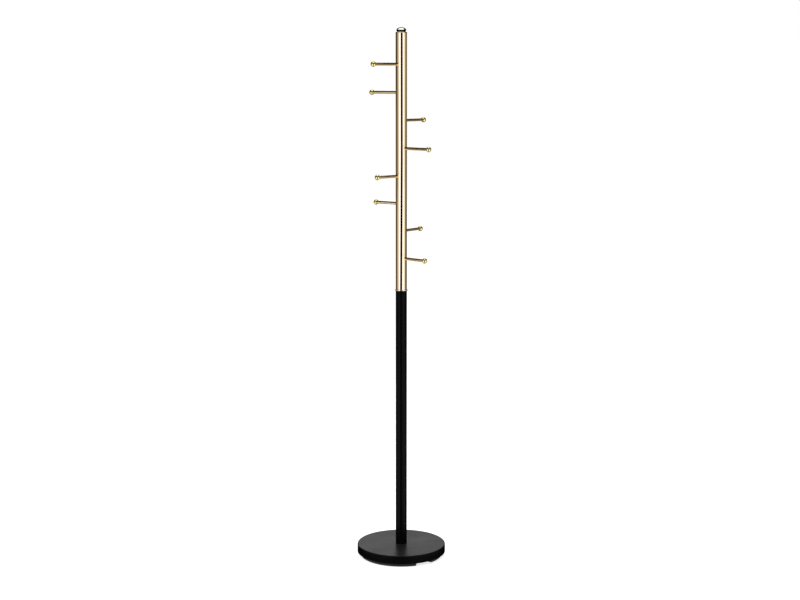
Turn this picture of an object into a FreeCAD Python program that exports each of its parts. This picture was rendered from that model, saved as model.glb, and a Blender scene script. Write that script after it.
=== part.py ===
import FreeCAD, Part
import math
import os

os.makedirs("parts", exist_ok=True)

# Free-standing coat rack. Millimetres, +Z up, origin on the floor on the pole's axis.
# The front faces -Y. A round weighted base carries a black lower tube, a ring at the joint
# and a brass-plated upper tube with eight round pegs and a turned knob on its end.

# Base
base_radius = 150.0            # outside of the pressed cover
foot_height = 12.0             # floor to the underside of the tray
cover_height = 28.0            # lower edge to the top face of the cover
cover_wall = 1.2
cover_edge_radius = 3.0        # rounding of the cover's upper edge
tray_thickness = 3.0
tray_gap = 0.5                 # tray edge to the inside of the cover
weight_gap = 1.5               # weight edge to the inside of the cover
rib_width = 3.0                # stiffening ribs under the tray
rib_depth = 4.0
rib_count = 12

# Feet: long arcs with a gap between each two
foot_count = 3
foot_gap_angle = 25.0          # degrees left open between two feet
first_gap_direction = -56.0    # degrees from +X to the middle of the first gap
foot_inset = 11.0              # cover edge to the outside of a foot rail
foot_width = 20.0
pad_thickness = 3.0
pad_margin = 1.0               # pad edge to the edge of its rail

# Tubes and their joint
tube_radius = 19.0
tube_wall = 1.2
lower_tube_length = 873.0
upper_tube_length = 844.0
collar_overhang = 4.0          # how far the collar stands out from the tubes
collar_thickness = 5.0
collar_foot_overhang = 1.4     # the same where its underside meets the lower tube
collar_bevel_height = 2.4
collar_edge_radius = 0.8

# Plugs and fasteners
plug_gap = 0.1                 # plug to the inside of the tube
plug_spare = 5.0               # plug length beyond the thread engagement
thread_gap = 0.1               # thread to the wall of its tapped hole
hole_gap = 0.5                 # bolt to the wall of a plain hole
main_thread_radius = 5.0
main_engagement = 19.0
bolt_head_flats = 17.0
bolt_head_height = 6.4
washer_radius = 15.0
washer_thickness = 2.5

# Pegs, numbered from the top down; each four go once round the pole
peg_directions = [222.4, 143.1, 52.7, 316.4]
peg_turns = 2
peg_reach = [122.0, 105.5]     # pole axis to ball centre, in the upper and the lower turn
first_peg_drop = 101.5         # top of the upper tube to the first peg
last_peg_rise = 104.1          # bottom of the upper tube to the last peg
peg_radius = 5.0
peg_chamfer = 0.5
ball_radius = 9.0
peg_thread_radius = 3.0
peg_engagement = 7.0
ball_engagement = 7.0
bush_wall = 1.6                # drawn bush round each tapped hole in the tube
bush_depth = 3.0               # bush below the inside of the tube

# End of the upper tube
end_flange_thickness = 2.5
end_flange_edge_radius = 2.0
end_spigot_length = 15.0
knob_radius = 16.0
knob_neck_radius = 12.2
knob_under_height = 6.0        # neck to the widest line of the knob
knob_dome_height = 9.5
knob_edge_radius = 7.0         # rounding from the widest line into the crown
knob_thread_radius = 3.0
knob_engagement = 8.0

# Levels
base_top = foot_height + cover_height
tray_top = foot_height + tray_thickness
cover_inside = base_top - cover_wall
joint_bottom = base_top + lower_tube_length
joint_top = joint_bottom + collar_thickness
tube_end = joint_top + upper_tube_length
knob_bottom = tube_end + end_flange_thickness

tube_bore = tube_radius - tube_wall
collar_radius = tube_radius + collar_overhang
collar_foot_radius = tube_radius + collar_foot_overhang
plug_radius = tube_bore - plug_gap
plug_length = main_engagement + plug_spare
tapped_radius = main_thread_radius + thread_gap
plain_radius = main_thread_radius + hole_gap
peg_tapped_radius = peg_thread_radius + thread_gap
cover_bore = base_radius - cover_wall
foot_outer = base_radius - foot_inset
foot_inner = foot_outer - foot_width
foot_pitch = 360.0 / foot_count
foot_span = foot_pitch - foot_gap_angle
peg_count = peg_turns * len(peg_directions)
peg_pitch = (upper_tube_length - first_peg_drop - last_peg_rise) / (peg_count - 1)
ball_flat = math.sqrt(ball_radius ** 2 - peg_radius ** 2)

up = FreeCAD.Vector(0, 0, 1)


def point(x, y, z):
    return FreeCAD.Vector(x, y, z)


def disc(radius, bottom, top):
    return Part.makeCylinder(radius, top - bottom, point(0, 0, bottom))


def ring(outer, inner, bottom, top):
    return disc(outer, bottom, top).cut(disc(inner, bottom, top))


def turned(edges):
    face = Part.Face(Part.Wire(edges))
    return face.revolve(point(0, 0, 0), up, 360)


def edges_at(shape, height, radius):
    found = []
    for edge in shape.Edges:
        curve = edge.Curve
        if isinstance(curve, Part.Circle):
            level = abs(curve.Center.z - height) < 0.001
            if level and abs(curve.Radius - radius) < 0.001:
                found.append(edge)
    return found


def arc_band(outer, inner, bottom, top, start, span):
    sector = Part.makeCylinder(outer, top - bottom, point(0, 0, bottom), up, span)
    sector = sector.cut(disc(inner, bottom, top))
    sector.rotate(point(0, 0, 0), up, start)
    return sector


def foot_starts():
    first = first_gap_direction + foot_gap_angle / 2
    return [first + index * foot_pitch for index in range(foot_count)]


# Base

def base_cover():
    outer = disc(base_radius, foot_height, base_top)
    outer = outer.makeFillet(cover_edge_radius, edges_at(outer, base_top, base_radius))
    inner = disc(cover_bore, foot_height, cover_inside)
    inner_edge = cover_edge_radius - cover_wall
    if inner_edge > 0:
        inner = inner.makeFillet(inner_edge, edges_at(inner, cover_inside, cover_bore))
    hole = disc(plain_radius, cover_inside, base_top)
    return outer.cut(inner).cut(hole)


def base_weight():
    radius = cover_bore - weight_gap
    body = disc(radius, tray_top, cover_inside)
    body = body.makeChamfer(cover_edge_radius, edges_at(body, cover_inside, radius))
    return body.cut(disc(plain_radius, tray_top, cover_inside))


def tray_rib(index):
    length = foot_inner - washer_radius
    angle = 360.0 / rib_count * index + first_gap_direction
    rib = Part.makeBox(length, rib_width, rib_depth)
    rib.translate(point(washer_radius, -rib_width / 2, foot_height - rib_depth))
    rib.rotate(point(0, 0, 0), up, angle)
    return rib


def base_tray():
    body = disc(cover_bore - tray_gap, foot_height, tray_top)
    rails = [arc_band(foot_outer, foot_inner, pad_thickness, foot_height, start, foot_span)
             for start in foot_starts()]
    ribs = [tray_rib(index) for index in range(rib_count)]
    boss = ring(washer_radius + 2 * rib_width, washer_radius + rib_width,
                foot_height - rib_depth, foot_height)
    clear = disc(washer_radius + rib_width, foot_height - rib_depth, foot_height)
    ribs = [rib.cut(clear) for rib in ribs]
    body = body.fuse(rails + ribs + [boss]).removeSplitter()
    return body.cut(disc(plain_radius, foot_height, tray_top))


def foot_pad(start):
    outer = foot_outer - pad_margin
    inner = foot_inner + pad_margin
    turn = math.degrees(pad_margin / foot_outer)
    return arc_band(outer, inner, 0, pad_thickness, start + turn, foot_span - 2 * turn)


def base_washer():
    return ring(washer_radius, plain_radius, foot_height - washer_thickness, foot_height)


def base_bolt():
    seat = foot_height - washer_thickness
    corner = bolt_head_flats / math.sqrt(3)
    points = []
    for index in range(7):
        angle = math.radians(60 * index)
        points.append(point(corner * math.cos(angle), corner * math.sin(angle),
                            seat - bolt_head_height))
    head = Part.Face(Part.makePolygon(points)).extrude(up * bolt_head_height)
    shank = disc(main_thread_radius, seat, base_top + main_engagement)
    return head.fuse(shank)


# Tubes and their joint

def lower_tube():
    return ring(tube_radius, tube_bore, base_top, joint_bottom)


def tube_plug(bottom):
    return ring(plug_radius, tapped_radius, bottom, bottom + plug_length)


def joint_stud():
    return disc(main_thread_radius, joint_bottom - main_engagement, joint_top + main_engagement)


def collar_ring():
    upper_edge = joint_bottom + collar_bevel_height
    corners = [point(tapped_radius, 0, joint_bottom),
               point(collar_foot_radius, 0, joint_bottom),
               point(collar_radius, 0, upper_edge),
               point(collar_radius, 0, joint_top),
               point(tapped_radius, 0, joint_top),
               point(tapped_radius, 0, joint_bottom)]
    body = turned(Part.makePolygon(corners).Edges)
    rim = edges_at(body, joint_top, collar_radius) + edges_at(body, upper_edge, collar_radius)
    return body.makeFillet(collar_edge_radius, rim)


def peg_height(index):
    return tube_end - first_peg_drop - index * peg_pitch


def peg_direction(index):
    return peg_directions[index % len(peg_directions)]


def peg_ball_centre(index):
    return peg_reach[index // len(peg_directions)]


def placed_peg(shape, index):
    # A peg part is drawn along +X at floor level, then turned and lifted to its row.
    shape.rotate(point(0, 0, 0), up, peg_direction(index))
    shape.translate(point(0, 0, peg_height(index)))
    return shape


def along(radius, start, end):
    return Part.makeCylinder(radius, end - start, point(start, 0, 0), point(1, 0, 0))


def upper_tube():
    body = ring(tube_radius, tube_bore, joint_top, tube_end)
    for index in range(peg_count):
        bush_start = tube_bore - bush_depth
        bush = along(peg_tapped_radius + bush_wall, bush_start, tube_bore)
        body = body.fuse(placed_peg(bush, index))
    for index in range(peg_count):
        hole = along(peg_tapped_radius, tube_bore - 2 * bush_depth, tube_radius + 1)
        body = body.cut(placed_peg(hole, index))
    return body


def peg_rod(index):
    face = peg_ball_centre(index) - ball_flat
    rod = along(peg_radius, tube_radius, face)
    root = [edge for edge in rod.Edges
            if isinstance(edge.Curve, Part.Circle) and edge.Curve.Center.x < tube_radius + 1]
    rod = rod.makeChamfer(peg_chamfer, root)
    thread = along(peg_thread_radius, tube_radius - peg_engagement, face + ball_engagement)
    return placed_peg(rod.fuse(thread), index)


def peg_ball(index):
    centre = peg_ball_centre(index)
    ball = Part.makeSphere(ball_radius, point(centre, 0, 0))
    face = centre - ball_flat
    ball = ball.cut(along(ball_radius, centre - 2 * ball_radius, face))
    ball = ball.cut(along(peg_tapped_radius, face, face + ball_engagement + peg_thread_radius))
    return placed_peg(ball, index)


# End of the upper tube

def tube_end_cap():
    flange = disc(tube_radius, tube_end, knob_bottom)
    flange = flange.makeFillet(end_flange_edge_radius, edges_at(flange, knob_bottom, tube_radius))
    spigot = disc(plug_radius, tube_end - end_spigot_length, tube_end)
    hole = disc(knob_thread_radius + thread_gap, tube_end - end_spigot_length, knob_bottom)
    return flange.fuse(spigot).cut(hole)


def knob_stud():
    return disc(knob_thread_radius, knob_bottom - knob_engagement, knob_bottom + knob_engagement)


def arc_edge(centre_x, centre_z, radius, start, end):
    # An arc in the XZ plane; angles in radians from +X towards +Z.
    points = []
    for angle in (start, (start + end) / 2, end):
        points.append(point(centre_x + radius * math.cos(angle), 0,
                            centre_z + radius * math.sin(angle)))
    return Part.Arc(points[0], points[1], points[2]).toShape()


def top_knob():
    wide = knob_bottom + knob_under_height
    top = wide + knob_dome_height
    step = knob_radius - knob_neck_radius
    under_radius = (knob_under_height ** 2 + step ** 2) / (2 * step)
    under_end = math.asin(knob_under_height / under_radius)
    inset = knob_radius - knob_edge_radius
    rise = knob_dome_height - knob_edge_radius
    depth = (inset ** 2 - rise ** 2) / (2 * rise)
    crown_start = math.atan2(depth, inset)
    edges = [Part.makeLine(point(0, 0, knob_bottom), point(knob_neck_radius, 0, knob_bottom)),
             arc_edge(knob_radius - under_radius, wide, under_radius, -under_end, 0),
             arc_edge(inset, wide, knob_edge_radius, 0, crown_start),
             arc_edge(0, wide - depth, knob_dome_height + depth, crown_start, math.pi / 2),
             Part.makeLine(point(0, 0, top), point(0, 0, knob_bottom))]
    hole_top = knob_bottom + knob_engagement + knob_thread_radius / 2
    return turned(edges).cut(disc(knob_thread_radius + thread_gap, knob_bottom, hole_top))


def save(name, shape):
    shape.exportStep("parts/" + name + ".step")
    print(name, "solids", len(shape.Solids), "volume", round(shape.Volume, 1),
          "valid", shape.isValid())


save("base_cover", base_cover())
save("base_weight", base_weight())
save("base_tray", base_tray())
for number, start in enumerate(foot_starts(), 1):
    save("foot_pad_%d" % number, foot_pad(start))
save("base_washer", base_washer())
save("base_bolt", base_bolt())
save("lower_tube", lower_tube())
save("lower_tube_foot_plug", tube_plug(base_top))
save("lower_tube_head_plug", tube_plug(joint_bottom - plug_length))
save("joint_stud", joint_stud())
save("collar_ring", collar_ring())
save("upper_tube", upper_tube())
save("upper_tube_plug", tube_plug(joint_top))
for number in range(1, peg_count + 1):
    save("peg_rod_%d" % number, peg_rod(number - 1))
    save("peg_ball_%d" % number, peg_ball(number - 1))
save("tube_end_cap", tube_end_cap())
save("knob_stud", knob_stud())
save("top_knob", top_knob())
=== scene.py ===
import math
import bmesh
import bpy
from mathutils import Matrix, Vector


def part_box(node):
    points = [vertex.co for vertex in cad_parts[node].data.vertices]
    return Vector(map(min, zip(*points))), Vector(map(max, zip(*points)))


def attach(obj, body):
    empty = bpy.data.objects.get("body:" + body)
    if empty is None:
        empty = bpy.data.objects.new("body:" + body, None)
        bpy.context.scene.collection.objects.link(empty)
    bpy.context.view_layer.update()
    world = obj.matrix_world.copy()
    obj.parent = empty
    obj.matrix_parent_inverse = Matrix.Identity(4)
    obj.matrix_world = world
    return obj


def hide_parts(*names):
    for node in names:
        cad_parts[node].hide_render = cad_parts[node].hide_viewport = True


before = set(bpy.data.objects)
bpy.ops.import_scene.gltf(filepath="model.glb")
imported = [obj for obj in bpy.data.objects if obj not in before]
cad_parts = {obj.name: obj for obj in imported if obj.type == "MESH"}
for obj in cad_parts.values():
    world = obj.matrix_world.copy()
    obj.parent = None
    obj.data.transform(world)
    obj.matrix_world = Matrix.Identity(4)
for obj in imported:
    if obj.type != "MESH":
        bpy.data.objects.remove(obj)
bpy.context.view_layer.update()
print("frame loaded:", len(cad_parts), "nodes")


# Measures read from the frame

def middle(node):
    low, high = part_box(node)
    return (low + high) / 2


def halfWidth(node):
    low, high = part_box(node)
    return (high.x - low.x + high.y - low.y) / 4


def bottomOf(node):
    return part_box(node)[0].z


def topOf(node):
    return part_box(node)[1].z


# Node building

def put(tree, kind, place, **values):
    made = tree.nodes.new(kind)
    made.location = (place[0] * 200, place[1] * 160)
    for name, value in values.items():
        setattr(made, name, value)
    return made


def join(tree, start, end):
    tree.links.new(start, end)


def feed(tree, value, socket):
    # A number or a colour is set on the socket, and a socket is joined to it
    if isinstance(value, (int, float)):
        socket.default_value = value
    elif isinstance(value, tuple):
        socket.default_value = (*value, 1)
    else:
        join(tree, value, socket)


def mathNode(tree, place, operation, first, second, clamp=False):
    made = put(tree, "ShaderNodeMath", place, operation=operation, use_clamp=clamp)
    feed(tree, first, made.inputs[0])
    feed(tree, second, made.inputs[1])
    return made.outputs[0]


def rescale(tree, place, value, low, high, newLow, newHigh):
    made = put(tree, "ShaderNodeMapRange", place)
    ends = {"Value": value, "From Min": low, "From Max": high, "To Min": newLow, "To Max": newHigh}
    for name, end in ends.items():
        feed(tree, end, made.inputs[name])
    return made.outputs["Result"]


def noise(tree, place, vector, scale, detail, rough):
    made = put(tree, "ShaderNodeTexNoise", place)
    given = {"Vector": vector, "Scale": scale, "Detail": detail, "Roughness": rough}
    for name, value in given.items():
        feed(tree, value, made.inputs[name])
    return made.outputs["Fac"]


def stretched(tree, place, vector, scale):
    made = put(tree, "ShaderNodeMapping", place)
    join(tree, vector, made.inputs["Vector"])
    made.inputs["Scale"].default_value = scale
    return made.outputs["Vector"]


def blendColours(tree, place, fac, first, second):
    made = put(tree, "ShaderNodeMix", place, data_type="RGBA")
    join(tree, fac, made.inputs["Factor"])
    feed(tree, first, made.inputs[6])
    feed(tree, second, made.inputs[7])
    return made.outputs[2]


def newGroup(name, inputs, outputs):
    group = bpy.data.node_groups.new(name, "ShaderNodeTree")
    for label, kind, default in inputs:
        made = group.interface.new_socket(label, in_out="INPUT", socket_type=kind)
        if default is not None:
            made.default_value = default
    for label, kind in outputs:
        group.interface.new_socket(label, in_out="OUTPUT", socket_type=kind)
    return group, put(group, "NodeGroupInput", (-6, 0)), put(group, "NodeGroupOutput", (6, 0))


# In the patterns, a noise is its scale, detail and roughness, and a range its low and high end

coatPattern = {
    "pebble": (900, 3, 0.6), "fleck": (420, 2, 0.7), "drift": (9, 4, 0.6), "smear": (3, 5, 0.65),
    "smearStretch": (3.0, 11.0, 7.0), "fleckRange": (0.56, 0.74), "driftRange": (0.3, 0.7),
    "upwardRange": (0.5, 1.0), "smearRange": (0.35, 0.7), "thinnestDustAndTopLight": 0.35,
}
surfaceOutputs = [("Colour", "NodeSocketColor"), ("Roughness", "NodeSocketFloat"),
                  ("Height", "NodeSocketFloat")]


def coatGroup():
    # Sprayed and baked powder: a fine pebbled skin, slow drift of tone, and a pale patchy layer on
    # upward faces that is partly settled dust and partly painted light, making the tops lighter
    # than the sides
    pattern = coatPattern
    group, source, result = newGroup(
        "powderCoat",
        [("Position", "NodeSocketVector", None),
         ("Coat Colour", "NodeSocketColor", (0.01, 0.01, 0.01, 1)),
         ("Fleck Colour", "NodeSocketColor", (0.03, 0.03, 0.03, 1)),
         ("Dust And Top Light Colour", "NodeSocketColor", (0.12, 0.115, 0.105, 1)),
         ("Dust And Top Light Amount", "NodeSocketFloat", 0.1),
         ("Low Roughness", "NodeSocketFloat", 0.4),
         ("High Roughness", "NodeSocketFloat", 0.55)], surfaceOutputs)
    given = source.outputs
    position = given["Position"]
    pebble = noise(group, (-4, 2), position, *pattern["pebble"])
    fleck = noise(group, (-4, 1), position, *pattern["fleck"])
    drift = noise(group, (-4, 0), position, *pattern["drift"])
    drawn = stretched(group, (-5, -1), position, pattern["smearStretch"])
    smear = noise(group, (-4, -1), drawn, *pattern["smear"])
    fleckMask = rescale(group, (-3, 1), fleck, *pattern["fleckRange"], 0, 1)
    tone = blendColours(group, (-2, 1), fleckMask, given["Coat Colour"], given["Fleck Colour"])
    facing = put(group, "ShaderNodeNewGeometry", (-4, -3))
    split = put(group, "ShaderNodeSeparateXYZ", (-3, -3))
    join(group, facing.outputs["Normal"], split.inputs[0])
    upward = rescale(group, (-2, -3), split.outputs["Z"], *pattern["upwardRange"], 0, 1)
    patchy = rescale(group, (-2, -2), smear, *pattern["smearRange"], pattern["thinnestDustAndTopLight"], 1)
    # Pale layer on upward faces: partly settled dust, partly painted top light that makes tops
    # lighter than the sides
    dustAndTopLight = mathNode(group, (-1, -2), "MULTIPLY", upward, patchy)
    dustAndTopLight = mathNode(group, (0, -2), "MULTIPLY", dustAndTopLight, given["Dust And Top Light Amount"], clamp=True)
    dustedAndLit = blendColours(group, (1, 1), dustAndTopLight, tone, given["Dust And Top Light Colour"])
    spread = rescale(group, (1, -1), drift, *pattern["driftRange"],
                     given["Low Roughness"], given["High Roughness"])
    join(group, dustedAndLit, result.inputs["Colour"])
    join(group, spread, result.inputs["Roughness"])
    join(group, pebble, result.inputs["Height"])
    return group


platingPattern = {
    "lines": (1, 4, 0.6), "drift": (14, 3, 0.55), "marks": (55, 5, 0.7),
    "spotRange": (0.52, 0.68), "warmRange": (0.35, 0.68), "spotShare": 0.45, "lineShare": 0.55,
}


def platingGroup():
    # Brass-coloured plating: faint polishing lines, handling marks, warm and cool drift
    pattern = platingPattern
    group, source, result = newGroup(
        "brassPlating",
        [("Position", "NodeSocketVector", None),
         ("Line Stretch", "NodeSocketVector", (400.0, 400.0, 8.0)),
         ("Bright Colour", "NodeSocketColor", (0.9, 0.75, 0.47, 1)),
         ("Warm Colour", "NodeSocketColor", (0.85, 0.66, 0.36, 1)),
         ("Low Roughness", "NodeSocketFloat", 0.05),
         ("High Roughness", "NodeSocketFloat", 0.12)], surfaceOutputs)
    given = source.outputs
    position = given["Position"]
    stretch = put(group, "ShaderNodeVectorMath", (-5, 2), operation="MULTIPLY")
    join(group, position, stretch.inputs[0])
    join(group, given["Line Stretch"], stretch.inputs[1])
    lines = noise(group, (-4, 2), stretch.outputs[0], *pattern["lines"])
    drift = noise(group, (-4, 1), position, *pattern["drift"])
    marks = noise(group, (-4, 0), position, *pattern["marks"])
    spots = rescale(group, (-3, 0), marks, *pattern["spotRange"], 0, 1)
    warm = rescale(group, (-3, 1), drift, *pattern["warmRange"], 0, 1)
    tone = blendColours(group, (-1, 1), warm, given["Bright Colour"], given["Warm Colour"])
    rubbed = mathNode(group, (-2, -1), "MULTIPLY", spots, pattern["spotShare"])
    lined = mathNode(group, (-2, -2), "MULTIPLY", lines, pattern["lineShare"])
    total = mathNode(group, (-1, -1), "ADD", rubbed, lined, clamp=True)
    spread = rescale(group, (0, -1), total, 0, 1, given["Low Roughness"], given["High Roughness"])
    join(group, tone, result.inputs["Colour"])
    join(group, spread, result.inputs["Roughness"])
    join(group, lines, result.inputs["Height"])
    return group


def newMaterial(name):
    material = bpy.data.materials.new(name)
    material.use_nodes = True
    tree = material.node_tree
    shader = tree.nodes["Principled BSDF"]
    shader.location = (400, 0)
    tree.nodes["Material Output"].location = (700, 0)
    return material, tree, shader


def objectPosition(tree):
    return put(tree, "ShaderNodeTexCoord", (-4, 0)).outputs["Object"]


def addBump(tree, shader, height, look):
    bump = put(tree, "ShaderNodeBump", (1, -3))
    bump.inputs["Strength"].default_value = look["bump"]
    bump.inputs["Distance"].default_value = look["bumpDepth"]
    join(tree, height, bump.inputs["Height"])
    join(tree, bump.outputs["Normal"], shader.inputs["Normal"])


def patterned(name, group, look, colours, amounts):
    # Colour, roughness and height come from the group, set by the look's own values
    material, tree, shader = newMaterial(name)
    finish = put(tree, "ShaderNodeGroup", (-1, 0), node_tree=group)
    join(tree, objectPosition(tree), finish.inputs["Position"])
    for label in colours:
        finish.inputs[label].default_value = (*look[label], 1)
    for label in amounts:
        finish.inputs[label].default_value = look[label]
    join(tree, finish.outputs["Colour"], shader.inputs["Base Color"])
    join(tree, finish.outputs["Roughness"], shader.inputs["Roughness"])
    addBump(tree, shader, finish.outputs["Height"], look)
    return material, shader


def coated(name, group, look):
    material, shader = patterned(name, group, look, ("Coat Colour", "Fleck Colour", "Dust And Top Light Colour"),
                                 ("Dust And Top Light Amount", "Low Roughness", "High Roughness"))
    shader.inputs["IOR"].default_value = look["ior"]
    return material


def plated(name, group, look):
    material, shader = patterned(name, group, look, ("Bright Colour", "Warm Colour"),
                                 ("Line Stretch", "Low Roughness", "High Roughness"))
    shader.inputs["Metallic"].default_value = 1.0
    return material


stockPattern = {"grainDetail": (4, 0.65), "driftDetail": (3, 0.5),
                "grainRange": (0.2, 0.8), "driftRange": (0.3, 0.7)}


def mottled(name, look):
    # Plain stock such as plastic, rubber, zinc or concrete: two tones, pitted or grained
    pattern = stockPattern
    material, tree, shader = newMaterial(name)
    position = objectPosition(tree)
    grain = noise(tree, (-3, 1), position, look["grain"], *pattern["grainDetail"])
    drift = noise(tree, (-3, 0), position, look["drift"], *pattern["driftDetail"])
    drifted = rescale(tree, (-2, 1), drift, *pattern["driftRange"], 0, 1)
    tone = blendColours(tree, (-1, 1), drifted, look["dark"], look["light"])
    rough = rescale(tree, (-2, 0), grain, *pattern["grainRange"],
                    look["roughLow"], look["roughHigh"])
    join(tree, tone, shader.inputs["Base Color"])
    join(tree, rough, shader.inputs["Roughness"])
    shader.inputs["Metallic"].default_value = look["metal"]
    addBump(tree, shader, grain, look)
    return material


coat = coatGroup()
plating = platingGroup()

# Upward faces are blended toward a pale colour that is partly settled dust and partly painted light
# from above
baseFinish = {
    "Coat Colour": (0.0030, 0.0030, 0.0030), "Fleck Colour": (0.006, 0.006, 0.0058),
    "Dust And Top Light Colour": (0.10, 0.098, 0.092), "Dust And Top Light Amount": 0.16,
    "Low Roughness": 0.31, "High Roughness": 0.39,
    "ior": 1.178, "bump": 0.25, "bumpDepth": 0.0003,
}
poleFinish = {
    "Coat Colour": (0.0022, 0.0022, 0.0023), "Fleck Colour": (0.005, 0.005, 0.005),
    "Dust And Top Light Colour": (0.06, 0.058, 0.054), "Dust And Top Light Amount": 0.03,
    "Low Roughness": 0.18, "High Roughness": 0.24,
    "ior": 1.13, "bump": 0.10, "bumpDepth": 0.0002,
}
tubeFinish = {
    "Line Stretch": (420.0, 420.0, 6.0),
    "Bright Colour": (0.90, 0.76, 0.50), "Warm Colour": (0.88, 0.72, 0.45),
    "Low Roughness": 0.02, "High Roughness": 0.06, "bump": 0.01, "bumpDepth": 0.0001,
}
rodFinish = {
    "Line Stretch": (60.0, 60.0, 500.0),
    "Bright Colour": (0.89, 0.72, 0.42), "Warm Colour": (0.85, 0.65, 0.35),
    "Low Roughness": 0.04, "High Roughness": 0.09, "bump": 0.01, "bumpDepth": 0.0001,
}
ballFinish = {
    "Line Stretch": (120.0, 120.0, 120.0),
    "Bright Colour": (0.88, 0.76, 0.30), "Warm Colour": (0.84, 0.68, 0.22),
    "Low Roughness": 0.04, "High Roughness": 0.09, "bump": 0.01, "bumpDepth": 0.0001,
}
knobFinish = {
    "Line Stretch": (30.0, 30.0, 500.0),
    "Bright Colour": (0.93, 0.86, 0.67), "Warm Colour": (0.90, 0.79, 0.54),
    "Low Roughness": 0.03, "High Roughness": 0.07, "bump": 0.01, "bumpDepth": 0.0001,
}

baseCoat = coated("matt_powder_coat", coat, baseFinish)
poleCoat = coated("satin_powder_coat", coat, poleFinish)
tubePlating = plated("brass_tube_plating", plating, tubeFinish)
rodPlating = plated("brass_rod_plating", plating, rodFinish)
ballPlating = plated("brass_ball_plating", plating, ballFinish)
knobPlating = plated("brass_knob_plating", plating, knobFinish)

stockFinishes = {
    "pad_rubber": {
        "grain": 1400, "drift": 60, "dark": (0.008, 0.008, 0.008), "light": (0.016, 0.016, 0.016),
        "roughLow": 0.7, "roughHigh": 0.9, "metal": 0.0, "bump": 0.4, "bumpDepth": 0.0003},
    "tray_plastic": {
        "grain": 1800, "drift": 25, "dark": (0.006, 0.006, 0.006), "light": (0.010, 0.010, 0.010),
        "roughLow": 0.5, "roughHigh": 0.65, "metal": 0.0, "bump": 0.3, "bumpDepth": 0.0002},
    "zinc_steel": {
        "grain": 300, "drift": 80, "dark": (0.42, 0.43, 0.44), "light": (0.60, 0.60, 0.58),
        "roughLow": 0.25, "roughHigh": 0.45, "metal": 1.0, "bump": 0.1, "bumpDepth": 0.0002},
    "turned_steel": {
        "grain": 500, "drift": 50, "dark": (0.34, 0.34, 0.35), "light": (0.48, 0.48, 0.48),
        "roughLow": 0.3, "roughHigh": 0.5, "metal": 1.0, "bump": 0.15, "bumpDepth": 0.0002},
    "cast_concrete": {
        "grain": 240, "drift": 30, "dark": (0.30, 0.29, 0.27), "light": (0.46, 0.45, 0.42),
        "roughLow": 0.8, "roughHigh": 0.95, "metal": 0.0, "bump": 0.8, "bumpDepth": 0.0008},
}
stocks = {name: mottled(name, look) for name, look in stockFinishes.items()}
print("finishes made")


# Turned shapes: a closed outline of (radius, height) corners spun round the pole's axis

meshing = {"sharpAngle": 32, "guard": 0.25, "onAxis": 1e-6}


def softCorners(corners, steps):
    # Each corner is (radius, height, rounding); a rounded corner gets an arc, and a guard loop
    # on each side of it
    outline = []
    count = len(corners)
    for index, (radius, height, rounding) in enumerate(corners):
        here = Vector((radius, height))
        if rounding <= 0:
            outline.append(here)
            continue
        before = Vector(corners[index - 1][:2]) - here
        after = Vector(corners[(index + 1) % count][:2]) - here
        before.normalize()
        after.normalize()
        halfAngle = math.acos(max(-1, min(1, before.dot(after)))) / 2
        run = rounding / math.tan(halfAngle)
        centre = here + (before + after).normalized() * (rounding / math.sin(halfAngle))
        start = here + before * run
        end = here + after * run
        outline.append(start + before * rounding * meshing["guard"])
        first = start - centre
        turn = (end - centre).angle_signed(first)
        for step in range(steps + 1):
            swing = turn * step / steps
            cosine, sine = math.cos(swing), math.sin(swing)
            outline.append(centre + Vector((first.x * cosine - first.y * sine,
                                            first.x * sine + first.y * cosine)))
        outline.append(end + after * rounding * meshing["guard"])
    return outline


def finished(name, shape):
    mesh = bpy.data.meshes.new(name)
    shape.to_mesh(mesh)
    shape.free()
    mesh.shade_smooth()
    mesh.set_sharp_from_angle(angle=math.radians(meshing["sharpAngle"]))
    piece = bpy.data.objects.new(name, mesh)
    bpy.context.scene.collection.objects.link(piece)
    return piece


def ringPlaces(radius, sides):
    # Places round the axis, or the one place on it
    if radius < meshing["onAxis"]:
        return [(0, 0)]
    return [(radius * math.cos(math.tau * k / sides), radius * math.sin(math.tau * k / sides))
            for k in range(sides)]


def skinned(name, shape, rings, sides):
    # Faces from each ring to the next, and from the last to the first unless both lie on the axis
    for ring, other in zip(rings, rings[1:] + rings[:1]):
        if len(ring) == 1 and len(other) == 1:
            continue
        for k in range(sides):
            following = (k + 1) % sides
            corners = [ring[k % len(ring)], ring[following % len(ring)],
                       other[following % len(other)], other[k % len(other)]]
            shape.faces.new(list(dict.fromkeys(corners)))
    bmesh.ops.recalc_face_normals(shape, faces=shape.faces)
    return finished(name, shape)


def spun(name, outline, sides):
    shape = bmesh.new()
    rings = [[shape.verts.new((x, y, corner.y)) for x, y in ringPlaces(corner.x, sides)]
             for corner in outline]
    return skinned(name, shape, rings, sides)


def settle(piece, material, slot, *nodes):
    piece.data.materials.clear()
    piece.data.materials.append(material)
    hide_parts(*nodes)
    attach(piece, "root")
    print("made", piece.name)


# Base cover

baseCoverShape = {"wall": 0.0012, "edge": 0.003, "hem": 0.0005, "boltHole": 0.0055,
                  "edgeSteps": 8, "sides": 256}


def makeBaseCover():
    shape = baseCoverShape
    radius = halfWidth("base_cover")
    bottom, top = bottomOf("base_cover"), topOf("base_cover")
    inner, under = radius - shape["wall"], top - shape["wall"]
    outline = softCorners([
        (shape["boltHole"], top, 0),
        (radius, top, shape["edge"]),
        (radius, bottom, shape["hem"]),
        (inner, bottom, shape["hem"]),
        (inner, under, shape["edge"] - shape["wall"]),
        (shape["boltHole"], under, 0)], shape["edgeSteps"])
    cover = spun("base_cover_shell", outline, shape["sides"])
    settle(cover, baseCoat, "black_coat", "base_cover")


# Tubes, ring, end cap and knob

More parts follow.
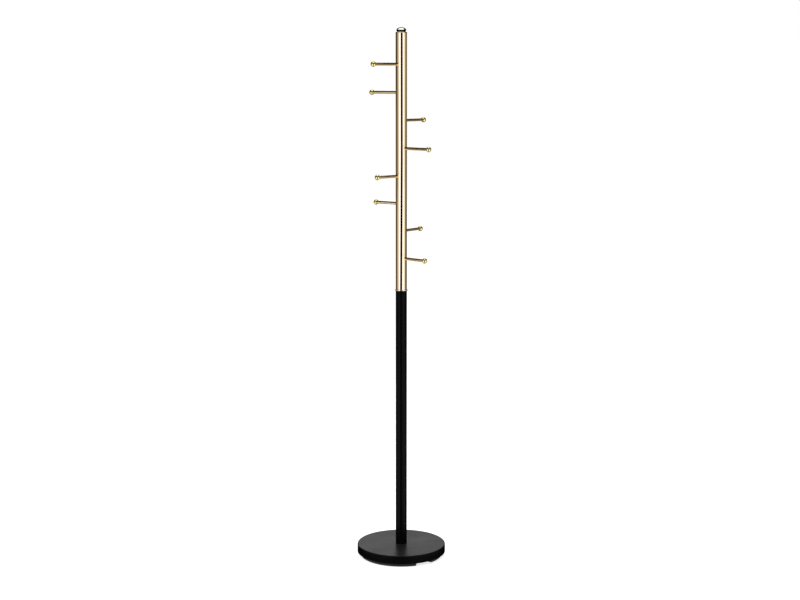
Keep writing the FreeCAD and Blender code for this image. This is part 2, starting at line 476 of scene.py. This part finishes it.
tubeShape = {"wall": 0.0012, "endBreak": 0.0004, "edgeSteps": 3, "sides": 128}


def makeTube(name, node, material, slot):
    shape = tubeShape
    radius = halfWidth(node)
    bore = radius - shape["wall"]
    bottom, top = bottomOf(node), topOf(node)
    outline = softCorners([
        (radius, bottom, shape["endBreak"]),
        (radius, top, shape["endBreak"]),
        (bore, top, 0),
        (bore, bottom, 0)], shape["edgeSteps"])
    settle(spun(name, outline, shape["sides"]), material, slot, node)


collarShape = {"foot": 0.0204, "footEdge": 0.0003, "bevel": 0.0024, "edge": 0.0008,
               "bore": 0.0051, "edgeSteps": 5, "sides": 128}


def makeCollar():
    shape = collarShape
    radius = halfWidth("collar_ring")
    bottom, top = bottomOf("collar_ring"), topOf("collar_ring")
    outline = softCorners([
        (shape["bore"], bottom, 0),
        (shape["foot"], bottom, shape["footEdge"]),
        (radius, bottom + shape["bevel"], shape["edge"]),
        (radius, top, shape["edge"]),
        (shape["bore"], top, 0)], shape["edgeSteps"])
    ring = spun("joint_ring", outline, shape["sides"])
    settle(ring, knobPlating, "brass_fittings", "collar_ring")


endCapShape = {"spigotGap": 0.0001, "edge": 0.002, "seam": 0.0003, "stud": 0.0031,
               "flange": 0.0025, "edgeSteps": 6, "sides": 128}


def makeEndCap():
    shape = endCapShape
    radius = halfWidth("tube_end_cap")
    bottom, top = bottomOf("tube_end_cap"), topOf("tube_end_cap")
    spigot = radius - tubeShape["wall"] - shape["spigotGap"]
    outline = softCorners([
        (shape["stud"], top, 0),
        (radius, top, shape["edge"]),
        (radius, top - shape["flange"], shape["seam"]),
        (spigot, top - shape["flange"], 0),
        (spigot, bottom, 0),
        (shape["stud"], bottom, 0)], shape["edgeSteps"])
    plate = spun("tube_end_plate", outline, shape["sides"])
    settle(plate, tubePlating, "brass_tube", "tube_end_cap")


knobShape = {"neck": 0.0122, "neckStep": 0.0006, "underHeight": 0.006, "edge": 0.007,
             "steps": 14, "sides": 96}


def makeKnob():
    # Three arcs: in under the widest place, round the edge, and over the crown
    shape = knobShape
    radius = halfWidth("top_knob")
    bottom, top = bottomOf("top_knob"), topOf("top_knob")
    wide = bottom + shape["underHeight"]
    step = radius - shape["neck"]
    underRadius = (shape["underHeight"] ** 2 + step ** 2) / (2 * step)
    underEnd = math.asin(shape["underHeight"] / underRadius)
    inset = radius - shape["edge"]
    rise = top - wide - shape["edge"]
    depth = (inset ** 2 - rise ** 2) / (2 * rise)
    crownRadius = top - wide + depth
    crownStart = math.atan2(depth, inset)
    outline = [Vector((0, bottom)), Vector((shape["neck"] - shape["neckStep"], bottom))]
    arcs = [(radius - underRadius, wide, underRadius, -underEnd, 0),
            (inset, wide, shape["edge"], 0, crownStart),
            (0, wide - depth, crownRadius, crownStart, math.pi / 2)]
    for index, (x, z, size, start, end) in enumerate(arcs):
        first = 0 if index == 0 else 1
        for k in range(first, shape["steps"] + 1):
            angle = start + (end - start) * k / shape["steps"]
            outline.append(Vector((x + size * math.cos(angle), z + size * math.sin(angle))))
    outline[-1].x = 0
    settle(spun("knob", outline, shape["sides"]), knobPlating, "brass_fittings", "top_knob")


# Geometry Nodes helpers

def newTree(name, inputs):
    tree = bpy.data.node_groups.new(name, "GeometryNodeTree")
    tree.interface.new_socket("Geometry", in_out="INPUT", socket_type="NodeSocketGeometry")
    for label, kind, default in inputs:
        made = tree.interface.new_socket(label, in_out="INPUT", socket_type=kind)
        if default is not None:
            made.default_value = default
    tree.interface.new_socket("Geometry", in_out="OUTPUT", socket_type="NodeSocketGeometry")
    return tree, put(tree, "NodeGroupInput", (-6, 0)), put(tree, "NodeGroupOutput", (8, 0))


def runTree(piece, tree, values):
    # Sets the inputs by identifier, then bakes the result into a plain mesh
    modifier = piece.modifiers.new("layout", "NODES")
    modifier.node_group = tree
    names = {item.name: item.identifier for item in tree.interface.items_tree
             if item.item_type == "SOCKET" and item.in_out == "INPUT"}
    for label, value in values.items():
        modifier[names[label]] = value
    bpy.context.view_layer.update()
    graph = bpy.context.evaluated_depsgraph_get()
    baked = bpy.data.meshes.new_from_object(piece.evaluated_get(graph))
    piece.modifiers.clear()
    drawn = piece.data
    piece.data = baked
    baked.name = piece.name
    bpy.data.meshes.remove(drawn)


def finishTree(tree, made, source, result):
    realised = put(tree, "GeometryNodeRealizeInstances", (5, 0))
    painted = put(tree, "GeometryNodeSetMaterial", (6, 0))
    join(tree, made, realised.inputs[0])
    join(tree, realised.outputs[0], painted.inputs["Geometry"])
    join(tree, source.outputs["Finish"], painted.inputs["Material"])
    join(tree, painted.outputs[0], result.inputs[0])


# Pegs: one rod or ball is drawn along +X, then repeated down the pole by height and direction

pegShape = {"perTurn": 4, "rodRadius": 0.005, "ballRadius": 0.009, "chamfer": 0.0005,
            "guard": 3, "sides": 48, "ballSteps": 26}


def pegTree():
    directions = ["Direction %d" % (number + 1) for number in range(pegShape["perTurn"])]
    tree, source, result = newTree("pegLayout", [
        ("Count", "NodeSocketInt", 4),
        ("First Height", "NodeSocketFloat", 1.66),
        ("Height Step", "NodeSocketFloat", 0.091),
        *[(label, "NodeSocketFloat", 0.0) for label in directions],
        ("Finish", "NodeSocketMaterial", None)])
    rows = put(tree, "GeometryNodeMeshLine", (-3, 2))
    start = put(tree, "ShaderNodeCombineXYZ", (-4, 3))
    step = put(tree, "ShaderNodeCombineXYZ", (-4, 2))
    drop = mathNode(tree, (-5, 2), "MULTIPLY", source.outputs["Height Step"], -1.0)
    join(tree, source.outputs["First Height"], start.inputs["Z"])
    join(tree, drop, step.inputs["Z"])
    join(tree, source.outputs["Count"], rows.inputs["Count"])
    join(tree, start.outputs[0], rows.inputs["Start Location"])
    join(tree, step.outputs[0], rows.inputs["Offset"])
    order = put(tree, "GeometryNodeInputIndex", (-3, -1))
    choose = put(tree, "GeometryNodeIndexSwitch", (-1, -1), data_type="FLOAT")
    while len(choose.index_switch_items) < len(directions):
        choose.index_switch_items.new()
    join(tree, order.outputs[0], choose.inputs["Index"])
    for number, label in enumerate(directions):
        join(tree, source.outputs[label], choose.inputs[number + 1])
    turn = put(tree, "ShaderNodeCombineXYZ", (0, -1))
    join(tree, choose.outputs[0], turn.inputs["Z"])
    copies = put(tree, "GeometryNodeInstanceOnPoints", (2, 0))
    join(tree, rows.outputs[0], copies.inputs["Points"])
    join(tree, source.outputs["Geometry"], copies.inputs["Instance"])
    join(tree, turn.outputs[0], copies.inputs["Rotation"])
    finishTree(tree, copies.outputs[0], source, result)
    return tree


def spunSideways(name, outline, sides):
    # Spins an outline of (distance, radius) round the X axis; both ends lie on the axis
    shape = bmesh.new()
    rings = [[shape.verts.new((distance, y, z)) for y, z in ringPlaces(radius, sides)]
             for distance, radius in outline]
    return skinned(name, shape, rings, sides)


def rodOutline(start, end):
    radius, chamfer = pegShape["rodRadius"], pegShape["chamfer"]
    guard = pegShape["guard"] * chamfer
    return [(start, 0), (start, radius - chamfer), (start + chamfer, radius),
            (start + guard, radius), (end - guard, radius), (end, radius), (end, 0)]


def ballOutline(centre):
    radius, flat = pegShape["ballRadius"], pegShape["rodRadius"]
    steps = pegShape["ballSteps"]
    opening = math.asin(flat / radius)
    outline = [(centre - radius * math.cos(opening), 0)]
    for k in range(steps + 1):
        angle = opening + (math.pi - opening) * k / steps
        outline.append((centre - radius * math.cos(angle), radius * math.sin(angle)))
    outline[-1] = (outline[-1][0], 0)
    return outline


def makePegs():
    tree = pegTree()
    root = halfWidth("upper_tube")
    shape = pegShape
    perTurn, sides = shape["perTurn"], shape["sides"]
    for turn, label in enumerate(("upper", "lower")):
        numbers = range(turn * perTurn + 1, (turn + 1) * perTurn + 1)
        centres = [middle("peg_ball_%d" % number) for number in numbers]
        reach = sum(centre.xy.length for centre in centres) / perTurn
        flat = math.sqrt(shape["ballRadius"] ** 2 - shape["rodRadius"] ** 2)
        values = {"Count": perTurn, "First Height": centres[0].z,
                  "Height Step": (centres[0].z - centres[-1].z) / (perTurn - 1)}
        for index, centre in enumerate(centres):
            values["Direction %d" % (index + 1)] = math.atan2(centre.y, centre.x)
        rodNodes = ["peg_rod_%d" % number for number in numbers]
        ballNodes = ["peg_ball_%d" % number for number in numbers]
        rods = spunSideways(label + "_peg_rods", rodOutline(root, reach - flat), sides)
        runTree(rods, tree, {**values, "Finish": rodPlating})
        settle(rods, rodPlating, "brass_pegs", *rodNodes)
        balls = spunSideways(label + "_peg_balls", ballOutline(reach), sides)
        runTree(balls, tree, {**values, "Finish": ballPlating})
        settle(balls, ballPlating, "brass_fittings", *ballNodes)


# Foot pads: arcs swept under the tray's rails

padShape = {"count": 3, "firstDirection": -43.1, "span": 94.2, "width": 0.018,
            "edge": 0.0006, "edgeSteps": 3, "arcSteps": 64, "sharpAngle": 50}


def padTree():
    tree, source, result = newTree("padLayout", [
        ("Count", "NodeSocketInt", 3),
        ("First Direction", "NodeSocketFloat", 0.0),
        ("Span", "NodeSocketFloat", 1.6),
        ("Middle Radius", "NodeSocketFloat", 0.129),
        ("Width", "NodeSocketFloat", 0.018),
        ("Thickness", "NodeSocketFloat", 0.003),
        ("Edge", "NodeSocketFloat", 0.0006),
        ("Steps", "NodeSocketInt", 64),
        ("Finish", "NodeSocketMaterial", None)])
    arc = put(tree, "GeometryNodeCurveArc", (-3, 2))
    join(tree, source.outputs["Steps"], arc.inputs["Resolution"])
    join(tree, source.outputs["Middle Radius"], arc.inputs["Radius"])
    join(tree, source.outputs["First Direction"], arc.inputs["Start Angle"])
    join(tree, source.outputs["Span"], arc.inputs["Sweep Angle"])
    section = put(tree, "GeometryNodeCurvePrimitiveQuadrilateral", (-3, -1))
    join(tree, source.outputs["Width"], section.inputs["Width"])
    join(tree, source.outputs["Thickness"], section.inputs["Height"])
    rounded = put(tree, "GeometryNodeFilletCurve", (-2, -1), mode="POLY")
    join(tree, section.outputs[0], rounded.inputs["Curve"])
    rounded.inputs["Count"].default_value = padShape["edgeSteps"]
    join(tree, source.outputs["Edge"], rounded.inputs["Radius"])
    swept = put(tree, "GeometryNodeCurveToMesh", (-1, 1))
    join(tree, arc.outputs["Curve"], swept.inputs["Curve"])
    join(tree, rounded.outputs[0], swept.inputs["Profile Curve"])
    swept.inputs["Fill Caps"].default_value = True
    lifted = put(tree, "GeometryNodeTransform", (0, 1))
    lift = put(tree, "ShaderNodeCombineXYZ", (-1, 3))
    half = mathNode(tree, (-2, 3), "MULTIPLY", source.outputs["Thickness"], 0.5)
    join(tree, half, lift.inputs["Z"])
    join(tree, swept.outputs[0], lifted.inputs["Geometry"])
    join(tree, lift.outputs[0], lifted.inputs["Translation"])
    seats = put(tree, "GeometryNodeMeshLine", (0, -1))
    seats.inputs["Offset"].default_value = (0, 0, 0)
    join(tree, source.outputs["Count"], seats.inputs["Count"])
    order = put(tree, "GeometryNodeInputIndex", (-1, -3))
    share = mathNode(tree, (0, -3), "DIVIDE", math.tau, source.outputs["Count"])
    turned = mathNode(tree, (1, -3), "MULTIPLY", order.outputs[0], share)
    spin = put(tree, "ShaderNodeCombineXYZ", (2, -2))
    join(tree, turned, spin.inputs["Z"])
    copies = put(tree, "GeometryNodeInstanceOnPoints", (3, 0))
    join(tree, seats.outputs[0], copies.inputs["Points"])
    join(tree, lifted.outputs[0], copies.inputs["Instance"])
    join(tree, spin.outputs[0], copies.inputs["Rotation"])
    finishTree(tree, copies.outputs[0], source, result)
    return tree


def makePads():
    low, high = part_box("foot_pad_1")
    outer = max(math.hypot(v.co.x, v.co.y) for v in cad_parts["foot_pad_1"].data.vertices)
    shape = padShape
    pads = bpy.data.objects.new("foot_pads", bpy.data.meshes.new("foot_pads"))
    bpy.context.scene.collection.objects.link(pads)
    rubber = stocks["pad_rubber"]
    runTree(pads, padTree(), {
        "Count": shape["count"], "First Direction": math.radians(shape["firstDirection"]),
        "Span": math.radians(shape["span"]), "Middle Radius": outer - shape["width"] / 2,
        "Width": shape["width"], "Thickness": high.z - low.z, "Edge": shape["edge"],
        "Steps": shape["arcSteps"], "Finish": rubber})
    pads.data.shade_smooth()
    pads.data.set_sharp_from_angle(angle=math.radians(shape["sharpAngle"]))
    settle(pads, rubber, "foot_rubber", "foot_pad_1", "foot_pad_2", "foot_pad_3")


makeBaseCover()
makeTube("black_tube", "lower_tube", poleCoat, "black_tube")
makeTube("brass_tube", "upper_tube", tubePlating, "brass_tube")
makeCollar()
makeEndCap()
makeKnob()
makePegs()
makePads()

# Pieces kept from the frame get their own finish
keptFinishes = {
    "base_tray": "tray_plastic", "base_weight": "cast_concrete", "base_washer": "zinc_steel",
    "base_bolt": "zinc_steel", "joint_stud": "zinc_steel", "knob_stud": "zinc_steel",
    "lower_tube_foot_plug": "turned_steel", "lower_tube_head_plug": "turned_steel",
    "upper_tube_plug": "turned_steel",
}
for node, finish in keptFinishes.items():
    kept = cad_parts[node]
    kept.data.materials.clear()
    kept.data.materials.append(stocks[finish])
print("pieces made")


# Studio

studio = {
    "floorSize": 30.0, "floorTone": (0.80, 0.80, 0.80), "floorFill": 0.74,
    "worldFill": 0.45, "worldSeen": 1.0, "white": (1, 1, 1, 1),
}


def seenRays(tree, where):
    # 1 for the rays that show a surface or its mirror image, 0 for those that only light it
    path = put(tree, "ShaderNodeLightPath", where)
    seen = mathNode(tree, (where[0] + 1, where[1]), "MAXIMUM",
                    path.outputs["Is Camera Ray"], path.outputs["Is Glossy Ray"])
    return mathNode(tree, (where[0] + 2, where[1]), "MAXIMUM",
                    seen, path.outputs["Is Transmission Ray"])


def makeWorld():
    world = bpy.data.worlds.new("studio_white")
    bpy.context.scene.world = world
    world.use_nodes = True
    tree = world.node_tree
    tree.nodes.clear()
    fill = put(tree, "ShaderNodeBackground", (0, 0))
    fill.inputs["Color"].default_value = studio["white"]
    fill.inputs["Strength"].default_value = studio["worldFill"]
    white = put(tree, "ShaderNodeBackground", (0, -1))
    white.inputs["Color"].default_value = studio["white"]
    white.inputs["Strength"].default_value = studio["worldSeen"]
    mixed = put(tree, "ShaderNodeMixShader", (1, 0))
    output = put(tree, "ShaderNodeOutputWorld", (2, 0))
    join(tree, seenRays(tree, (-3, 1)), mixed.inputs[0])
    join(tree, fill.outputs[0], mixed.inputs[1])
    join(tree, white.outputs[0], mixed.inputs[2])
    join(tree, mixed.outputs[0], output.inputs["Surface"])


def makeFloor():
    half = studio["floorSize"] / 2
    shape = bmesh.new()
    places = ((-half, -half), (half, -half), (half, half), (-half, half))
    shape.faces.new([shape.verts.new((x, y, 0)) for x, y in places])
    floor = finished("studio_floor", shape)
    material = bpy.data.materials.new("pale_floor")
    material.use_nodes = True
    tree = material.node_tree
    tree.nodes.clear()
    matte = put(tree, "ShaderNodeBsdfDiffuse", (0, 0))
    matte.inputs["Color"].default_value = (*studio["floorTone"], 1)
    glow = put(tree, "ShaderNodeEmission", (0, -1))
    glow.inputs["Color"].default_value = studio["white"]
    filled = mathNode(tree, (-1, -1), "MULTIPLY", seenRays(tree, (-4, -1)), studio["floorFill"])
    join(tree, filled, glow.inputs["Strength"])
    both = put(tree, "ShaderNodeAddShader", (1, 0))
    output = put(tree, "ShaderNodeOutputMaterial", (2, 0))
    join(tree, matte.outputs[0], both.inputs[0])
    join(tree, glow.outputs[0], both.inputs[1])
    join(tree, both.outputs[0], output.inputs["Surface"])
    floor.data.materials.append(material)


lampAim = Vector((0, 0, 0.8))
lamps = {
    "key_light": {"power": 52.0, "size": 2.4, "place": (-1.6, -2.2, 3.6)},
    "fill_light": {"power": 16.0, "size": 3.0, "place": (2.6, -2.4, 2.6)},
    "top_light": {"power": 30.0, "size": 2.2, "place": (0.2, 0.9, 3.9)},
}


def makeLamp(name, lamp):
    data = bpy.data.lights.new(name, "AREA")
    data.shape = "SQUARE"
    data.size = lamp["size"]
    data.energy = lamp["power"]
    made = bpy.data.objects.new(name, data)
    made.location = lamp["place"]
    aim = lampAim - Vector(lamp["place"])
    made.rotation_euler = aim.to_track_quat("-Z", "Y").to_euler()
    made.visible_camera = False
    made.visible_glossy = False
    bpy.context.scene.collection.objects.link(made)


def cardCloth(name, oneSided):
    # Glows by the brightness painted on its corners; a one-sided cloth shows only its inner face
    material = bpy.data.materials.new(name)
    material.use_nodes = True
    tree = material.node_tree
    tree.nodes.clear()
    painted = put(tree, "ShaderNodeAttribute", (-1, 0), attribute_name="glow")
    glow = put(tree, "ShaderNodeEmission", (0, 0))
    join(tree, painted.outputs["Color"], glow.inputs["Color"])
    output = put(tree, "ShaderNodeOutputMaterial", (2, 0))
    if not oneSided:
        join(tree, glow.outputs[0], output.inputs["Surface"])
        return material
    clear = put(tree, "ShaderNodeBsdfTransparent", (0, -1))
    facing = put(tree, "ShaderNodeNewGeometry", (0, 1))
    mixed = put(tree, "ShaderNodeMixShader", (1, 0))
    join(tree, facing.outputs["Backfacing"], mixed.inputs[0])
    join(tree, glow.outputs[0], mixed.inputs[1])
    join(tree, clear.outputs[0], mixed.inputs[2])
    join(tree, mixed.outputs[0], output.inputs["Surface"])
    return material


plainCloth = cardCloth("card_cloth", False)
innerCloth = cardCloth("inner_card_cloth", True)


tints = {
    "amber": (1.0, 0.68, 0.36), "warm": (1.0, 0.78, 0.46), "cool": (0.96, 0.97, 1.08),
    "icy": (0.94, 1.0, 1.30), "plain": (1.0, 1.0, 1.0),
}
# Radii are distances from the pole, and step is the widest angle between a card's corners
cardShape = {
    "step": 4.0, "floor": 0.001, "ceiling": 4.2, "dark": 0.02, "opening": 1.7,
    "softboxRadius": 3.5, "gapRadius": 3.4, "wallRadius": 3.3, "flagRadius": 2.5,
    "topHeight": 4.3, "topGlow": 1.6, "floorGapStart": 0.2, "baseEdge": 0.152, "ringEdge": 0.32,
    "flagFoot": 0.34, "flagHead": 2.12, "nearRadius": 0.9, "backGlow": 1.17,
    "seatLift": 0.0002, "dishFoot": 0.0125, "dishRadius": 0.06, "dishWall": 0.0195,
    "stripTop": 0.11, "stripGlow": 1.2,
}


def card(name, tint, rows, cloth=plainCloth):
    # A curved card round the rack, seen only in reflections. Each row is (radius, height, stops),
    # each stop (angle from the front towards +X, brightness), with as many stops in every row
    shape = bmesh.new()
    paint = shape.verts.layers.float_color.new("glow")
    angles = [angle for angle, tone in rows[0][2]]
    divisions = [max(1, math.ceil(abs(after - before) / cardShape["step"]))
                 for before, after in zip(angles, angles[1:])]
    lines = []
    for radius, height, stops in rows:
        line = [stops[0]]
        for (before, toneBefore), (angle, tone), pieces in zip(stops, stops[1:], divisions):
            for k in range(1, pieces + 1):
                line.append((before + (angle - before) * k / pieces,
                             toneBefore + (tone - toneBefore) * k / pieces))
        corners = []
        for angle, tone in line:
            turn = math.radians(angle)
            corner = shape.verts.new((radius * math.sin(turn), -radius * math.cos(turn), height))
            corner[paint] = (*[tone * part for part in tints[tint]], 1)
            corners.append(corner)
        lines.append(corners)
    for lower, upper in zip(lines, lines[1:]):
        for k in range(len(lower) - 1):
            shape.faces.new((lower[k], upper[k], upper[k + 1], lower[k + 1]))
    made = finished(name, shape)
    made.data.materials.append(cloth)
    made.visible_camera = False
    made.visible_diffuse = False
    made.visible_transmission = False
    made.visible_shadow = False


def upright(radius, *levels):
    # Rows of a card that stands at one distance; each level is (height, stops)
    return [(radius, height, stops) for height, stops in levels]


def evenCard(name, start, end, tone, rows, cloth=plainCloth):
    # One brightness from angle to angle; each row is (radius, height)
    stops = [(start, tone), (end, tone)]
    card(name, "plain", [(radius, height, stops) for radius, height in rows], cloth)


def makeSoftboxes():
    shape = cardShape
    radius, ceiling = shape["softboxRadius"], shape["ceiling"]
    softboxes = {
        "softbox_left_core": ("icy", [(-45, 1.4), (-28, 1.5), (-3, 1.5)]),
        "softbox_right_core": ("icy", [(12, 1.5), (38, 1.5)]),
        "softbox_right": ("plain", [(38, 1.5), (60, 1.35), (65, 0.95), (79, 0.74), (85, 0.30)]),
    }
    for name, (tint, stops) in softboxes.items():
        card(name, tint, upright(radius, (0.0, stops), (ceiling, stops)))
    low = [(-81, 0.28), (-76, 0.62), (-54, 0.95), (-45, 1.45)]
    high = [(-81, 0.26), (-76, 0.54), (-54, 0.73), (-45, 1.4)]
    card("softbox_left", "cool",
         upright(radius, (0.0, low), (0.8, low), (1.15, high), (ceiling, high)))
    evenCard("softbox_top", -180, 180, shape["topGlow"],
             [(shape["opening"], shape["topHeight"]), (0.0, shape["topHeight"])])


def makeGap():
    # Unlit gap between the softboxes, carried on over the floor; each height has the angles
    # of the gap's left and right edge
    shape = cardShape
    edges = {0.0: (-26, 16), 0.45: (-24, 18), 0.85: (-16, 24),
             1.17: (-11, 29.5), 1.86: (-12, 27.5), 2.9: (-12, 27)}
    levels = [(height, [(left, 0.0), (right, 0.0)]) for height, (left, right) in edges.items()]
    card("gap_between", "plain", upright(shape["gapRadius"], *levels))
    evenCard("floor_gap", *edges[0.0], 0.0,
             [(shape["floorGapStart"], shape["floor"]), (shape["gapRadius"], shape["floor"])])


def makeFlags():
    # Flags beside the brass tube, and one behind its top
    shape = cardShape
    radius, dark = shape["flagRadius"], shape["dark"]
    foot, head = shape["flagFoot"], shape["flagHead"]
    fade = [(-158, 0.0), (-112, 0.0), (-106, 0.0), (-79, 0.0)]
    low = [(-158, 0.01), (-112, 0.01), (-106, 0.36), (-79, 0.44)]
    mid = [(-158, 0.20), (-110, 0.20), (-104, 0.08), (-80, 0.18)]
    high = [(-158, 0.02), (-112, 0.02), (-105, 0.21), (-79, 0.27)]
    card("flag_left", "amber", upright(radius, (foot, fade), (0.565, low), (0.95, low), (1.12, mid),
                                       (1.42, mid), (1.60, high), (head, high)))
    fade = [(83, 0.0), (126, 0.0), (132, 0.0), (158, 0.0)]
    low = [(83, 0.18), (126, 0.13), (132, dark), (158, dark)]
    mid = [(83, 0.24), (126, 0.18), (132, dark), (158, dark)]
    high = [(83, 0.36), (126, 0.24), (132, dark), (158, dark)]
    card("flag_right", "warm", upright(radius, (foot, fade), (0.565, low), (1.2, mid),
                                       (1.6, high), (head, high)))
    evenCard("flag_behind_top", 110, 250, dark,
             [(shape["nearRadius"], 1.95), (shape["nearRadius"], 2.5)])


def makeLowFlags():
    # Flags beside the black tube, and on the floor round the base
    shape = cardShape
    radius, foot, floor = shape["flagRadius"], shape["flagFoot"], shape["floor"]
    for side, start, end in (("left", -158, -88), ("right", 88, 158)):
        evenCard("low_flag_" + side, start, end, 0.0, [(radius, 0.0), (radius, foot)])
    unlit, half = [(92, 0.0), (268, 0.0)], [(92, 0.5), (268, 0.5)]
    card("floor_flag", "plain", [(shape["baseEdge"], floor, unlit),
                                 (shape["nearRadius"], floor, unlit), (radius, floor, half)])
    evenCard("floor_ring_front", -92, 92, 0.0,
             [(shape["baseEdge"], floor), (shape["ringEdge"], floor)])


def makeHighCards():
    # Dark walls and rings above the softboxes and flags, which the balls show as a dark line
    shape = cardShape
    softbox, wall = shape["softboxRadius"], shape["wallRadius"]
    ceiling, dark = shape["ceiling"], shape["dark"]
    walls = {"high_wall_76": (76, 148, 2.1), "high_wall_212": (212, 284, 2.1),
             "high_wall_behind": (148, 212, 2.9), "high_wall_front": (-76, 76, 2.25)}
    for name, (start, end, foot) in walls.items():
        evenCard(name, start, end, dark, [(wall, foot), (wall, ceiling)])
    evenCard("high_ring_front", -95, 95, dark, [(softbox, ceiling), (shape["opening"], ceiling)])
    evenCard("back_glow", 148, 212, shape["backGlow"],
             [(shape["gapRadius"], 0.0), (shape["gapRadius"], 2.1)])
    card("high_ring", "plain", [(softbox, ceiling, [(95, 0.03), (265, 0.03)]),
                                (shape["opening"], ceiling, [(95, dark), (265, dark)])])


def makeKnobCards():
    # Shallow dark dish under the knob, and a bright strip in front of its crown
    shape = cardShape
    radius = shape["dishRadius"]
    seat = bottomOf("top_knob") + shape["seatLift"]
    rim = seat + shape["dishWall"]
    evenCard("knob_dish", 0, 360, 0.0,
             [(shape["dishFoot"], seat), (radius, seat), (radius, rim)], innerCloth)
    evenCard("knob_glow", -80, 64, shape["stripGlow"],
             [(radius, rim), (radius, seat + shape["stripTop"])], innerCloth)


makeWorld()
makeFloor()
for name, lamp in lamps.items():
    makeLamp(name, lamp)
makeSoftboxes()
makeGap()
makeFlags()
makeLowFlags()
makeHighCards()
makeKnobCards()
print("studio made")


# Camera

cameraSetup = {"lens": 66.80, "sensor": 36.0, "place": (-0.0043, -4.9147, 1.6178),
               "downTilt": 8.524}

cameraData = bpy.data.cameras.new("camera")
cameraData.lens = cameraSetup["lens"]
cameraData.sensor_width = cameraSetup["sensor"]
camera = bpy.data.objects.new("camera", cameraData)
camera.location = cameraSetup["place"]
camera.rotation_euler = (math.radians(90 - cameraSetup["downTilt"]), 0, 0)
bpy.context.scene.collection.objects.link(camera)
bpy.context.scene.camera = camera
bpy.context.scene.view_settings.view_transform = "Standard"
print("camera set")
